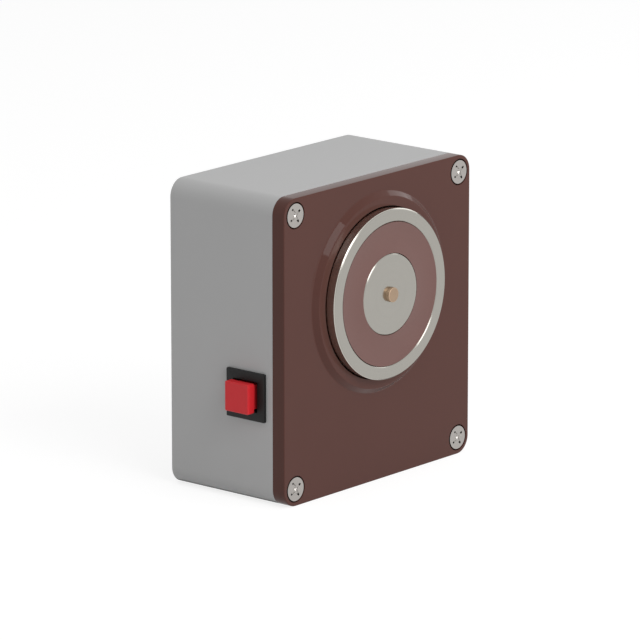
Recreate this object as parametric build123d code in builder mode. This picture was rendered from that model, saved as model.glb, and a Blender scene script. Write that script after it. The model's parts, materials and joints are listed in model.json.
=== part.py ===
from build123d import *
import os
from math import cos, radians, sin, tan

# The back face lies on the wall at y = 0 and the front looks along -Y. Every "depth" below is a distance from
# the wall, so it is measured along -Y. X runs to the right of someone who faces the holder, and Z runs up.

# Box
box_width = 100.0
box_height = 108.0
corner_radius = 6.0
housing_depth = 46.0
cover_thickness = 5.2
wall = 3.0
back_wall = 3.5

# Fits
thread_gap = 0.05
seat_gap = 0.03
slide_gap = 0.05
flat_gap = 0.1

# Cover screws and their inserts
screw_inset = 6.0
cover_screw_radius = 2.0
cover_screw_length = 13.0
head_radius = 4.2
head_land = 0.25
head_gap = 0.4
head_recess = 0.7
recess_reach = 2.7
recess_floor = 0.9
recess_depth = 1.5
recess_wing = 1.0
recess_angle = 33.5
screw_clearance = 0.25
insert_radius = 2.8
insert_waist = 2.5
insert_length = 8.0
corner_boss_radius = 5.0
screw_runout = 3.0

# Front cover
cover_skin = 2.6
rim_gap = 0.2
rim_thickness = 1.6
rim_depth = 2.0
rim_relief = 0.6
cover_pillar_radius = 6.0
cover_rib = 1.5
cover_rib_spacing = 32.0
collar_radius = 35.5
collar_height = 1.8
collar_flank = 45.0
collar_wall = 2.5
magnet_gap = 0.45

# Magnet
magnet_top = 40.8
pole_stand = 5.5
pedestal_height = 14.7
pot_radius = 30.0
ring_inner_radius = 25.3
core_radius = 14.4
pot_base = 8.0
pole_edge = 0.4
lip_thickness = 3.0
lip_gap = 0.12
lip_sink_width = 0.3
ejector_bore_radius = 4.2

# Coil
bobbin_gap = 0.2
bobbin_tube = 1.2
bobbin_flange = 1.4
winding_margin = 0.6
potting_thickness = 3.6
potting_recess = 0.15
coil_lead_pitch_radius = 20.0
coil_lead_angles = (-75.0, -60.0)

# Ejector
pin_radius = 2.6
pin_stand = 1.5
pin_tip_chamfer = 0.3
pin_flange_thickness = 2.0
pin_spigot_radius = 2.3
pin_spigot_length = 5.0
ejector_wire_radius = 0.35
ejector_spring_turns = 8

# Magnet fixing screw
pedestal_radius = 13.0
pedestal_cap = 5.0
fixing_radius = 5.0
fixing_length = 20.0
fixing_head_radius = 8.0
fixing_head_height = 10.0
fixing_head_chamfer = 0.8
fixing_socket_flats = 8.0
fixing_socket_depth = 5.0
fixing_hole_gap = 0.3
fixing_recess_gap = 0.8
washer_thickness = 1.6
thread_runout = 1.4
rib_count = 6
rib_thickness = 2.0
rib_reach = 26.0
rib_start_angle = 30.0

# Wall screws
wall_hole_inset_x = 12.0
wall_hole_inset_z = 24.0
wall_hole_radius = 2.5
wall_pad_radius = 5.5
wall_pad_height = 1.5

# Cable entry
entry_inset = 26.0
entry_height = 14.0
entry_radius = 7.0
grommet_bore_radius = 4.0
grommet_flange_radius = 9.0
grommet_flange = 1.5
grommet_recess = 1.7
knockout_radius = 8.0
knockout_groove = 0.8
knockout_skin = 1.0
knockout_depth = 24.0

# Release button and its switch
switch_setback = 11.4
switch_drop = 29.4
bezel_size = 17.0
bezel_thickness = 1.15
bezel_edge = 0.25
switch_size = 14.6
switch_length = 18.0
switch_floor = 2.0
aperture_gap = 0.2
snap_reach = 0.9
snap_length = 3.4
snap_width = 6.0
cap_size = 10.5
cap_stand = 5.75
cap_length = 8.75
cap_wall = 1.7
cap_front = 1.5
cap_edge = 0.5
cap_gap = 0.1
cap_groove_sink = 0.75
cap_groove_back = 0.2
cap_groove_width = 2.0
button_travel = 3.0
plunger_head = 2.0
stem_radius = 2.4
tail_radius = 1.8
tail_length = 3.8
bridge_reach = 8.2
bridge_length = 8.6
bridge_width = 2.4
bridge_thickness = 0.5
terminal_thickness = 0.6
terminal_width = 2.8
terminal_offset = 4.9
terminal_pad = 1.6
terminal_tail = 6.0
terminal_eye_radius = 0.6
button_wire_radius = 0.25
button_spring_radius = 2.6
button_spring_turns = 5

# Terminal strip
strip_x = 12.0
strip_height = 18.0
strip_stand = 5.5
pole_count = 4
pole_pitch = 10.0
tower_width = 8.4
tower_height = 18.0
tower_depth = 13.0
strip_floor = 4.0
tube_radius = 2.0
tube_bore_radius = 1.25
tube_length = 17.0
tube_depth = 5.0
clamp_screw_spacing = 9.6
clamp_screw_radius = 1.2
clamp_head_radius = 1.9
clamp_head_height = 1.6
clamp_head_sink = 1.0
slot_width = 0.5
slot_depth = 0.8
post_radius = 3.2
strip_screw_radius = 1.4
strip_screw_length = 8.6
strip_head_radius = 2.3
strip_head_height = 1.6

# Wiring
lead_radius = 0.7
lead_reach = 6.0
lead_slope = 9.0
lead_splay = 2.0
lead_tail = 3.0
lead_gap = 4.0
lead_run_gap = 7.35
lead_angles = (248.0, 234.0)
bend_share = 0.45
diode_wire_radius = 0.35
diode_drop = 2.8
diode_bend = 1.2
diode_radius = 1.35
diode_length = 5.2
diode_reach = 4.0

# Places worked out from the sizes above
box_depth = housing_depth + cover_thickness
box_floor = -box_height / 2
corner_x = box_width / 2 - screw_inset
corner_z = box_height / 2 - screw_inset
corners = [(x, z) for z in (corner_z, -corner_z) for x in (-corner_x, corner_x)]
wall_hole_spacing_x = box_width - 2 * wall_hole_inset_x
wall_hole_spacing_z = box_height - 2 * wall_hole_inset_z
magnet_z = box_height / 2 - magnet_top
switch_depth = housing_depth - switch_setback
switch_z = magnet_z - switch_drop
entry_x = -box_width / 2 + entry_inset
entry_z = box_floor + entry_height
strip_z = box_floor + strip_height
pole_face = box_depth + pole_stand
pot_back = back_wall + pedestal_height
coil_floor = pot_back + pot_base
potting_back = pole_face - potting_recess - potting_thickness
winding_back = coil_floor + bobbin_flange
lip_back = pole_face - lip_thickness
fixing_seat = pot_back - pedestal_cap
fixing_head_front = fixing_seat - washer_thickness
fixing_tip = fixing_head_front + fixing_length
lead_holes = [
    (coil_lead_pitch_radius * cos(radians(angle)), magnet_z + coil_lead_pitch_radius * sin(radians(angle)))
    for angle in coil_lead_angles
]
strip_back = back_wall + strip_stand
tube_axis_depth = strip_back + tube_depth
strip_front = strip_back + tower_depth
pole_xs = [strip_x + (number - (pole_count - 1) / 2) * pole_pitch for number in range(pole_count)]
strip_screw_xs = [(pole_xs[0] + pole_xs[1]) / 2, (pole_xs[-2] + pole_xs[-1]) / 2]
tube_top_z = strip_z + tube_length / 2
tube_bottom_z = strip_z - tube_length / 2


def facing_front(depth, x=0.0, z=0.0):
    """Sketch plane parallel to the wall, seen from the front."""
    return Plane(origin=(x, -depth, z), x_dir=(1, 0, 0), z_dir=(0, -1, 0))


def facing_left(reach):
    """Sketch plane on the switch's axis, parallel to the left wall and this far outside its face."""
    return Plane(origin=(-box_width / 2 - reach, -switch_depth, switch_z), x_dir=(0, -1, 0), z_dir=(-1, 0, 0))


def turning_plane(x, z):
    """Plane for a turned profile whose points are (radius, depth)."""
    return Plane(origin=(x, 0, z), x_dir=(1, 0, 0), z_dir=(0, 0, -1))


def turning_axis(x, z):
    """Axis square to the wall."""
    return Axis((x, 0, z), (0, -1, 0))


def bend_radii(route):
    """Largest even bend at each inner point of a wire's route."""
    radii = []
    for before, corner, after in zip(route, route[1:], route[2:]):
        run_in = Vector(*corner) - Vector(*before)
        run_out = Vector(*after) - Vector(*corner)
        half_turn = radians(run_in.get_angle(run_out)) / 2
        radii.append(bend_share * min(run_in.length, run_out.length) / tan(half_turn))
    return radii


os.makedirs("parts", exist_ok=True)

# Housing
with BuildPart() as housing:
    with BuildSketch(facing_front(0)):
        RectangleRounded(box_width, box_height, corner_radius)
    extrude(amount=housing_depth)
    with BuildSketch(facing_front(back_wall)):
        RectangleRounded(box_width - 2 * wall, box_height - 2 * wall, corner_radius - wall)
    extrude(amount=housing_depth - back_wall, mode=Mode.SUBTRACT)
    with BuildSketch(facing_front(back_wall)):
        with GridLocations(2 * corner_x, 2 * corner_z, 2, 2):
            Circle(corner_boss_radius)
    extrude(amount=housing_depth - back_wall)
    with BuildSketch(facing_front(housing_depth)):
        with GridLocations(2 * corner_x, 2 * corner_z, 2, 2):
            Circle(insert_radius)
    extrude(amount=-insert_length, mode=Mode.SUBTRACT)
    with BuildSketch(facing_front(housing_depth - insert_length)):
        with GridLocations(2 * corner_x, 2 * corner_z, 2, 2):
            Circle(cover_screw_radius + screw_clearance)
    extrude(amount=-screw_runout, mode=Mode.SUBTRACT)
    with BuildSketch(facing_front(back_wall, z=magnet_z)):
        Circle(pedestal_radius)
        with PolarLocations(rib_reach / 2, rib_count, start_angle=rib_start_angle):
            Rectangle(rib_reach, rib_thickness)
    extrude(amount=pedestal_height)
    with BuildSketch(facing_front(0, z=magnet_z)):
        Circle(fixing_head_radius + fixing_recess_gap)
    extrude(amount=fixing_seat, mode=Mode.SUBTRACT)
    with BuildSketch(facing_front(fixing_seat, z=magnet_z)):
        Circle(fixing_radius + fixing_hole_gap)
    extrude(amount=pedestal_cap, mode=Mode.SUBTRACT)
    with BuildSketch(facing_front(back_wall)):
        with GridLocations(wall_hole_spacing_x, wall_hole_spacing_z, 2, 2):
            Circle(wall_pad_radius)
    extrude(amount=wall_pad_height)
    with BuildSketch(facing_front(0)):
        with GridLocations(wall_hole_spacing_x, wall_hole_spacing_z, 2, 2):
            Circle(wall_hole_radius)
    extrude(amount=back_wall + wall_pad_height, mode=Mode.SUBTRACT)
    with BuildSketch(facing_front(0, entry_x, entry_z)):
        Circle(entry_radius)
    extrude(amount=back_wall, mode=Mode.SUBTRACT)
    with BuildSketch(facing_front(0, entry_x, entry_z)):
        Circle(grommet_flange_radius + rim_gap)
    extrude(amount=grommet_recess, mode=Mode.SUBTRACT)
    with BuildSketch(facing_front(back_wall)):
        with Locations(*[(x, strip_z) for x in strip_screw_xs]):
            Circle(post_radius)
            Circle(strip_screw_radius + thread_gap, mode=Mode.SUBTRACT)
    extrude(amount=strip_stand)
    with BuildSketch(facing_left(0)):
        Rectangle(switch_size + 2 * aperture_gap, switch_size + 2 * aperture_gap)
    extrude(amount=-wall, mode=Mode.SUBTRACT)
    with BuildSketch(Plane(origin=(0, -knockout_depth, -box_height / 2), x_dir=(1, 0, 0), z_dir=(0, 0, -1))):
        Circle(knockout_radius + knockout_groove)
        Circle(knockout_radius, mode=Mode.SUBTRACT)
    extrude(amount=-(wall - knockout_skin), mode=Mode.SUBTRACT)
housing.part.label = "housing"
export_step(housing.part, "parts/housing.step")

# Front cover
cover_skirt = wall + rim_gap + rim_thickness
cone_top_radius = head_radius - (head_recess - head_land) + seat_gap
clearance_radius = cover_screw_radius + screw_clearance
magnet_hole_radius = pot_radius + magnet_gap
rim_outer = wall + rim_gap
with BuildPart() as front_cover:
    with BuildSketch(facing_front(housing_depth)):
        RectangleRounded(box_width, box_height, corner_radius)
    extrude(amount=cover_thickness)
    with BuildSketch(facing_front(box_depth, z=magnet_z)):
        Circle(collar_radius)
    extrude(amount=collar_height, taper=collar_flank)
    with BuildSketch(facing_front(housing_depth)):
        Rectangle(box_width - 2 * cover_skirt, box_height - 2 * cover_skirt)
        with GridLocations(2 * corner_x, 2 * corner_z, 2, 2):
            Circle(cover_pillar_radius, mode=Mode.SUBTRACT)
        with Locations((0, magnet_z)):
            Circle(magnet_hole_radius + collar_wall, mode=Mode.SUBTRACT)
        with Locations((0, magnet_z - box_height / 2)):
            with GridLocations(cover_rib_spacing, 1, 2, 1):
                Rectangle(cover_rib, box_height, mode=Mode.SUBTRACT)
    extrude(amount=cover_thickness - cover_skin, mode=Mode.SUBTRACT)
    with BuildSketch(facing_front(housing_depth)):
        Rectangle(box_width - 2 * rim_outer, box_height - 2 * rim_outer)
        Rectangle(box_width - 2 * cover_skirt, box_height - 2 * cover_skirt, mode=Mode.SUBTRACT)
        with GridLocations(2 * corner_x, 2 * corner_z, 2, 2):
            Circle(corner_boss_radius + rim_relief, mode=Mode.SUBTRACT)
    extrude(amount=-rim_depth)
    with BuildSketch(facing_front(housing_depth, z=magnet_z)):
        Circle(magnet_hole_radius)
    extrude(amount=cover_thickness + collar_height, mode=Mode.SUBTRACT)
    for x, z in corners:
        with BuildSketch(turning_plane(x, z)):
            with BuildLine():
                Polyline(
                    (0, box_depth),
                    (head_radius + head_gap, box_depth),
                    (head_radius + head_gap, box_depth - head_recess),
                    (cone_top_radius, box_depth - head_recess),
                    (clearance_radius, box_depth - head_recess - cone_top_radius + clearance_radius),
                    (clearance_radius, housing_depth),
                    (0, housing_depth),
                    close=True,
                )
            make_face()
        revolve(axis=turning_axis(x, z), mode=Mode.SUBTRACT)
front_cover.part.label = "front_cover"
export_step(front_cover.part, "parts/front_cover.step")

# Cover screws and the threaded inserts that they run in
screw_tip = box_depth - cover_screw_length
head_cone_end = box_depth - head_land - (head_radius - cover_screw_radius)
for number, (x, z) in enumerate(corners, start=1):
    with BuildPart() as cover_screw:
        with BuildSketch(turning_plane(x, z)):
            with BuildLine():
                Polyline(
                    (0, box_depth),
                    (head_radius, box_depth),
                    (head_radius, box_depth - head_land),
                    (cover_screw_radius, head_cone_end),
                    (cover_screw_radius, screw_tip),
                    (0, screw_tip),
                    close=True,
                )
            make_face()
        revolve(axis=turning_axis(x, z))
        chamfer(cover_screw.edges().group_by(Axis.Y)[-1], cover_screw_radius / 4)
        for turn in (recess_angle, recess_angle + 90):
            wing_line = (cos(radians(turn)), 0, sin(radians(turn)))
            wing_side = (sin(radians(turn)), 0, -cos(radians(turn)))
            with BuildSketch(Plane(origin=(x, -box_depth, z), x_dir=wing_line, z_dir=wing_side)):
                with BuildLine():
                    Polyline(
                        (-recess_reach, 0),
                        (recess_reach, 0),
                        (recess_floor, -recess_depth),
                        (-recess_floor, -recess_depth),
                        close=True,
                    )
                make_face()
            extrude(amount=recess_wing / 2, both=True, mode=Mode.SUBTRACT)
    cover_screw.part.label = f"cover_screw_{number}"
    export_step(cover_screw.part, f"parts/cover_screw_{number}.step")

    insert_end = housing_depth - insert_length
    with BuildPart() as threaded_insert:
        with BuildSketch(turning_plane(x, z)):
            with BuildLine():
                Polyline(
                    (cover_screw_radius + thread_gap, housing_depth),
                    (insert_radius - seat_gap, housing_depth),
                    (insert_radius - seat_gap, housing_depth - insert_length / 3),
                    (insert_waist, housing_depth - insert_length / 3),
                    (insert_waist, insert_end + insert_length / 3),
                    (insert_radius - seat_gap, insert_end + insert_length / 3),
                    (insert_radius - seat_gap, insert_end),
                    (cover_screw_radius + thread_gap, insert_end),
                    close=True,
                )
            make_face()
        revolve(axis=turning_axis(x, z))
    threaded_insert.part.label = f"threaded_insert_{number}"
    export_step(threaded_insert.part, f"parts/threaded_insert_{number}.step")

# Magnet pot, turned in one piece with its core
lip_radius = pin_radius + lip_gap
thread_end = fixing_tip + thread_runout
with BuildPart() as magnet_pot:
    with BuildSketch(turning_plane(0, magnet_z)):
        with BuildLine():
            Polyline(
                (fixing_radius + thread_gap, pot_back),
                (pot_radius, pot_back),
                (pot_radius, pole_face),
                (ring_inner_radius, pole_face),
                (ring_inner_radius, coil_floor),
                (core_radius, coil_floor),
                (core_radius, pole_face),
                (lip_radius + lip_sink_width, pole_face),
                (lip_radius, pole_face - lip_sink_width),
                (lip_radius, lip_back),
                (ejector_bore_radius, lip_back),
                (ejector_bore_radius, thread_end),
                (fixing_radius + thread_gap, thread_end),
                close=True,
            )
        make_face()
    revolve(axis=turning_axis(0, magnet_z))
    rims = magnet_pot.edges().filter_by(GeomType.CIRCLE).group_by(Axis.Y)[0].sort_by(SortBy.RADIUS)[1:]
    fillet(rims, pole_edge)
    with BuildSketch(facing_front(pot_back)):
        with Locations(*lead_holes):
            Circle(lead_radius + rim_gap)
    extrude(amount=pot_base, mode=Mode.SUBTRACT)
magnet_pot.part.label = "magnet_pot"
export_step(magnet_pot.part, "parts/magnet_pot.step")

# Coil bobbin
tube_outer = core_radius + bobbin_gap + bobbin_tube
flange_outer = ring_inner_radius - bobbin_gap
with BuildPart() as coil_bobbin:
    with BuildSketch(turning_plane(0, magnet_z)):
        with BuildLine():
            Polyline(
                (core_radius + bobbin_gap, coil_floor),
                (flange_outer, coil_floor),
                (flange_outer, winding_back),
                (tube_outer, winding_back),
                (tube_outer, potting_back - bobbin_flange),
                (flange_outer, potting_back - bobbin_flange),
                (flange_outer, potting_back),
                (core_radius + bobbin_gap, potting_back),
                close=True,
            )
        make_face()
    revolve(axis=turning_axis(0, magnet_z))
    with BuildSketch(facing_front(coil_floor)):
        with Locations(*lead_holes):
            Circle(lead_radius + rim_gap)
    extrude(amount=bobbin_flange, mode=Mode.SUBTRACT)
coil_bobbin.part.label = "coil_bobbin"
export_step(coil_bobbin.part, "parts/coil_bobbin.step")

# Coil winding
with BuildPart() as coil_winding:
    with BuildSketch(facing_front(winding_back, z=magnet_z)):
        Circle(flange_outer - winding_margin)
        Circle(tube_outer + seat_gap, mode=Mode.SUBTRACT)
    extrude(amount=potting_back - bobbin_flange - winding_back)
coil_winding.part.label = "coil_winding"
export_step(coil_winding.part, "parts/coil_winding.step")

# Potting ring between the poles
with BuildPart() as potting_ring:
    with BuildSketch(facing_front(potting_back, z=magnet_z)):
        Circle(ring_inner_radius - seat_gap)
        Circle(core_radius + seat_gap, mode=Mode.SUBTRACT)
    extrude(amount=potting_thickness)
potting_ring.part.label = "potting_ring"
export_step(potting_ring.part, "parts/potting_ring.step")

# Ejector pin, held in the core by its flange
flange_back = lip_back - pin_flange_thickness
with BuildPart() as ejector_pin:
    with BuildSketch(turning_plane(0, magnet_z)):
        with BuildLine():
            Polyline(
                (0, pole_face + pin_stand),
                (pin_radius - pin_tip_chamfer, pole_face + pin_stand),
                (pin_radius, pole_face + pin_stand - pin_tip_chamfer),
                (pin_radius, lip_back),
                (ejector_bore_radius - slide_gap, lip_back),
                (ejector_bore_radius - slide_gap, flange_back),
                (pin_spigot_radius, flange_back),
                (pin_spigot_radius, flange_back - pin_spigot_length),
                (0, flange_back - pin_spigot_length),
                close=True,
            )
        make_face()
    revolve(axis=turning_axis(0, magnet_z))
ejector_pin.part.label = "ejector_pin"
export_step(ejector_pin.part, "parts/ejector_pin.step")

# Ejector spring, between the fixing screw's end and the pin's flange
ejector_spring_length = flange_back - fixing_tip - 2 * (ejector_wire_radius + seat_gap)
ejector_spring_radius = ejector_bore_radius - 2 * slide_gap - ejector_wire_radius - rim_gap
with BuildPart() as ejector_spring:
    with BuildLine() as ejector_coil:
        Helix(
            pitch=ejector_spring_length / ejector_spring_turns,
            height=ejector_spring_length,
            radius=ejector_spring_radius,
            center=(0, -(fixing_tip + ejector_wire_radius + seat_gap), magnet_z),
            direction=(0, -1, 0),
        )
    with BuildSketch(Plane(origin=ejector_coil.line @ 0, z_dir=ejector_coil.line % 0)):
        Circle(ejector_wire_radius)
    sweep(is_frenet=True)
ejector_spring.part.label = "ejector_spring"
export_step(ejector_spring.part, "parts/ejector_spring.step")

# Magnet fixing screw with a hexagon socket, and its washer
with BuildPart() as magnet_screw:
    with BuildSketch(facing_front(fixing_head_front - fixing_head_height, z=magnet_z)):
        Circle(fixing_head_radius)
    extrude(amount=fixing_head_height)
    chamfer(magnet_screw.edges().group_by(Axis.Y)[-1], fixing_head_chamfer)
    with BuildSketch(facing_front(fixing_head_front, z=magnet_z)):
        Circle(fixing_radius)
    extrude(amount=fixing_length)
    chamfer(magnet_screw.edges().group_by(Axis.Y)[0], fixing_head_chamfer)
    with BuildSketch(facing_front(fixing_head_front - fixing_head_height, z=magnet_z)):
        RegularPolygon(fixing_socket_flats / 2, 6, major_radius=False)
    extrude(amount=fixing_socket_depth, mode=Mode.SUBTRACT)
magnet_screw.part.label = "magnet_screw"
export_step(magnet_screw.part, "parts/magnet_screw.step")

with BuildPart() as magnet_washer:
    with BuildSketch(facing_front(fixing_head_front, z=magnet_z)):
        Circle(fixing_head_radius + fixing_recess_gap / 2)
        Circle(fixing_radius + fixing_hole_gap, mode=Mode.SUBTRACT)
    extrude(amount=washer_thickness)
magnet_washer.part.label = "magnet_washer"
export_step(magnet_washer.part, "parts/magnet_washer.step")

# Cable grommet, clipped in the back wall
with BuildPart() as cable_grommet:
    with BuildSketch(turning_plane(entry_x, entry_z)):
        with BuildLine():
            Polyline(
                (grommet_bore_radius, flat_gap),
                (grommet_flange_radius, flat_gap),
                (grommet_flange_radius, grommet_recess),
                (entry_radius - seat_gap, grommet_recess),
                (entry_radius - seat_gap, back_wall),
                (grommet_flange_radius, back_wall),
                (grommet_flange_radius, back_wall + grommet_flange),
                (grommet_bore_radius, back_wall + grommet_flange),
                close=True,
            )
        make_face()
    revolve(axis=turning_axis(entry_x, entry_z))
cable_grommet.part.label = "cable_grommet"
export_step(cable_grommet.part, "parts/cable_grommet.step")

# Switch body with its bezel, pocket, snap arms and terminal slots
pocket_size = cap_size + 2 * cap_gap
snap_root = box_width / 2 - wall - flat_gap
with BuildPart() as switch_body:
    with BuildSketch(facing_left(0)):
        Rectangle(bezel_size, bezel_size)
    extrude(amount=bezel_thickness)
    chamfer(switch_body.edges().group_by(Axis.X)[0], bezel_edge)
    with BuildSketch(facing_left(0)):
        Rectangle(switch_size, switch_size)
    extrude(amount=-switch_length)
    for side in (1, -1):
        with BuildSketch(facing_front(switch_depth)):
            with BuildLine():
                Polyline(
                    (-snap_root, switch_z + side * switch_size / 2),
                    (-snap_root, switch_z + side * (switch_size / 2 + snap_reach)),
                    (-(snap_root - snap_length), switch_z + side * switch_size / 2),
                    close=True,
                )
            make_face()
        extrude(amount=snap_width / 2, both=True)
    with BuildSketch(facing_left(bezel_thickness)):
        Rectangle(pocket_size, pocket_size)
    extrude(amount=-(bezel_thickness + switch_length - switch_floor), mode=Mode.SUBTRACT)
    with BuildSketch(facing_left(-switch_length)):
        with GridLocations(2 * terminal_offset, 1, 2, 1):
            Rectangle(terminal_thickness, terminal_width)
    extrude(amount=switch_floor, mode=Mode.SUBTRACT)
switch_body.part.label = "switch_body"
export_step(switch_body.part, "parts/switch_body.step")

# Red button cap
cap_back = cap_stand - cap_length
cavity_size = cap_size - 2 * cap_wall
with BuildPart() as button_cap:
    with BuildSketch(facing_left(cap_back)):
        Rectangle(cap_size, cap_size)
    extrude(amount=cap_length)
    fillet(button_cap.edges().filter_by(Axis.X), cap_edge)
    fillet(button_cap.edges().group_by(Axis.X)[0], cap_edge)
    with BuildSketch(facing_left(cap_groove_back)):
        Rectangle(cap_size, cap_size)
        Rectangle(cap_size - 2 * cap_groove_sink, cap_size - 2 * cap_groove_sink, mode=Mode.SUBTRACT)
    extrude(amount=cap_groove_width, mode=Mode.SUBTRACT)
    with BuildSketch(facing_left(cap_back)):
        Rectangle(cavity_size, cavity_size)
    extrude(amount=cap_length - cap_front, mode=Mode.SUBTRACT)
button_cap.part.label = "button_cap"
export_step(button_cap.part, "parts/button_cap.step")

# Plunger that carries the cap and the contact bridge
plunger_front = cap_stand - cap_front
with BuildPart() as button_plunger:
    with BuildSketch(facing_left(plunger_front)):
        Rectangle(cavity_size - 2 * slide_gap, cavity_size - 2 * slide_gap)
    extrude(amount=-plunger_head)
    with BuildSketch(facing_left(plunger_front)):
        Circle(stem_radius)
    extrude(amount=-(plunger_front + bridge_reach))
    with BuildSketch(facing_left(-bridge_reach)):
        Circle(tail_radius)
    extrude(amount=-(bridge_thickness + tail_length))
button_plunger.part.label = "button_plunger"
export_step(button_plunger.part, "parts/button_plunger.step")

# Contact bridge
with BuildPart() as contact_bridge:
    with BuildSketch(facing_left(-bridge_reach)):
        SlotOverall(bridge_length, bridge_width + 2 * tail_radius - bridge_width / 2)
        Circle(tail_radius + slide_gap, mode=Mode.SUBTRACT)
    extrude(amount=-bridge_thickness)
contact_bridge.part.label = "contact_bridge"
export_step(contact_bridge.part, "parts/contact_bridge.step")

# Switch terminals, bent to a pad in front of the bridge and drilled for solder at the tail
terminal_length = terminal_tail + switch_length - bridge_reach
for number, side in enumerate((-1, 1), start=1):
    with BuildPart() as switch_terminal:
        with BuildSketch(facing_left(-bridge_reach - terminal_length)):
            with Locations((side * terminal_offset, 0)):
                Rectangle(terminal_thickness, terminal_width)
        extrude(amount=terminal_length + terminal_thickness)
        with BuildSketch(facing_left(-bridge_reach)):
            with Locations((side * (terminal_offset + terminal_thickness / 2 - terminal_pad / 2), 0)):
                Rectangle(terminal_pad, terminal_width)
        extrude(amount=terminal_thickness)
        eye_reach = box_width / 2 - switch_length - terminal_tail + terminal_width / 2
        with BuildSketch(facing_front(switch_depth + side * terminal_offset)):
            with Locations((-eye_reach, switch_z)):
                Circle(terminal_eye_radius)
        extrude(amount=terminal_thickness, both=True, mode=Mode.SUBTRACT)
    switch_terminal.part.label = f"switch_terminal_{number}"
    export_step(switch_terminal.part, f"parts/switch_terminal_{number}.step")

# Button return spring, between the contact bridge and the switch floor
spring_start = switch_length - switch_floor - button_wire_radius - seat_gap
button_spring_length = spring_start - bridge_reach - bridge_thickness - button_wire_radius - seat_gap
with BuildPart() as button_spring:
    with BuildLine() as button_coil:
        Helix(
            pitch=button_spring_length / button_spring_turns,
            height=button_spring_length,
            radius=button_spring_radius,
            center=(-box_width / 2 + spring_start, -switch_depth, switch_z),
            direction=(-1, 0, 0),
        )
    with BuildSketch(Plane(origin=button_coil.line @ 0, z_dir=button_coil.line % 0)):
        Circle(button_wire_radius)
    sweep(is_frenet=True)
button_spring.part.label = "button_spring"
export_step(button_spring.part, "parts/button_spring.step")

# Terminal strip body: a floor that joins one tower for each pole
clamp_zs = (strip_z + clamp_screw_spacing / 2, strip_z - clamp_screw_spacing / 2)
tube_plane_z = strip_z - tower_height / 2
with BuildPart() as terminal_strip:
    with BuildSketch(facing_front(strip_back, strip_x, strip_z)):
        Rectangle(pole_count * pole_pitch, tower_height)
    extrude(amount=strip_floor)
    with BuildSketch(facing_front(strip_back)):
        with Locations(*[(x, strip_z) for x in pole_xs]):
            Rectangle(tower_width, tower_height)
    extrude(amount=tower_depth)
    with BuildSketch(facing_front(strip_back + strip_floor)):
        with Locations(*[(x, strip_z) for x in strip_screw_xs]):
            Circle(strip_head_radius + flat_gap)
    extrude(amount=tower_depth, mode=Mode.SUBTRACT)
    with BuildSketch(facing_front(strip_back)):
        with Locations(*[(x, strip_z) for x in strip_screw_xs]):
            Circle(strip_screw_radius + rim_gap)
    extrude(amount=strip_floor, mode=Mode.SUBTRACT)
    with BuildSketch(Plane.XY.offset(tube_plane_z)):
        with Locations(*[(x, -tube_axis_depth) for x in pole_xs]):
            Circle(tube_radius + slide_gap)
    extrude(amount=tower_height, mode=Mode.SUBTRACT)
    with BuildSketch(facing_front(tube_axis_depth)):
        with Locations(*[(x, z) for x in pole_xs for z in clamp_zs]):
            Circle(clamp_head_radius + flat_gap)
    extrude(amount=tower_depth, mode=Mode.SUBTRACT)
terminal_strip.part.label = "terminal_strip"
export_step(terminal_strip.part, "parts/terminal_strip.step")

# Terminal tubes and the screws that clamp the wires in them
clamp_tip = tube_axis_depth + lead_radius + slide_gap
clamp_head_front = strip_front - clamp_head_sink
screw_number = 0
for number, x in enumerate(pole_xs, start=1):
    with BuildPart() as terminal_tube:
        with BuildSketch(Plane.XY.offset(tube_bottom_z)):
            with Locations((x, -tube_axis_depth)):
                Circle(tube_radius)
                Circle(tube_bore_radius, mode=Mode.SUBTRACT)
        extrude(amount=tube_length)
        with BuildSketch(facing_front(tube_axis_depth)):
            with Locations(*[(x, z) for z in clamp_zs]):
                Circle(clamp_screw_radius + slide_gap)
        extrude(amount=tube_radius, mode=Mode.SUBTRACT)
    terminal_tube.part.label = f"terminal_tube_{number}"
    export_step(terminal_tube.part, f"parts/terminal_tube_{number}.step")

    for z in clamp_zs:
        screw_number += 1
        with BuildPart() as terminal_screw:
            with BuildSketch(facing_front(clamp_tip, x, z)):
                Circle(clamp_screw_radius)
            extrude(amount=clamp_head_front - clamp_tip)
            with BuildSketch(facing_front(clamp_head_front - clamp_head_height, x, z)):
                Circle(clamp_head_radius)
            extrude(amount=clamp_head_height)
            with BuildSketch(facing_front(clamp_head_front, x, z)):
                Rectangle(2 * clamp_head_radius, slot_width)
            extrude(amount=-slot_depth, mode=Mode.SUBTRACT)
        terminal_screw.part.label = f"terminal_screw_{screw_number}"
        export_step(terminal_screw.part, f"parts/terminal_screw_{screw_number}.step")

# Screws that hold the strip on its posts
strip_head_seat = strip_back + strip_floor
for number, x in enumerate(strip_screw_xs, start=1):
    with BuildPart() as strip_screw:
        with BuildSketch(facing_front(strip_head_seat, x, strip_z)):
            Circle(strip_head_radius)
        extrude(amount=strip_head_height)
        with BuildSketch(facing_front(strip_head_seat, x, strip_z)):
            Circle(strip_screw_radius)
        extrude(amount=-strip_screw_length)
        with BuildSketch(facing_front(strip_head_seat + strip_head_height, x, strip_z)):
            Rectangle(2 * strip_head_radius, slot_width)
        extrude(amount=-slot_depth, mode=Mode.SUBTRACT)
    strip_screw.part.label = f"strip_screw_{number}"
    export_step(strip_screw.part, f"parts/strip_screw_{number}.step")

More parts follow.
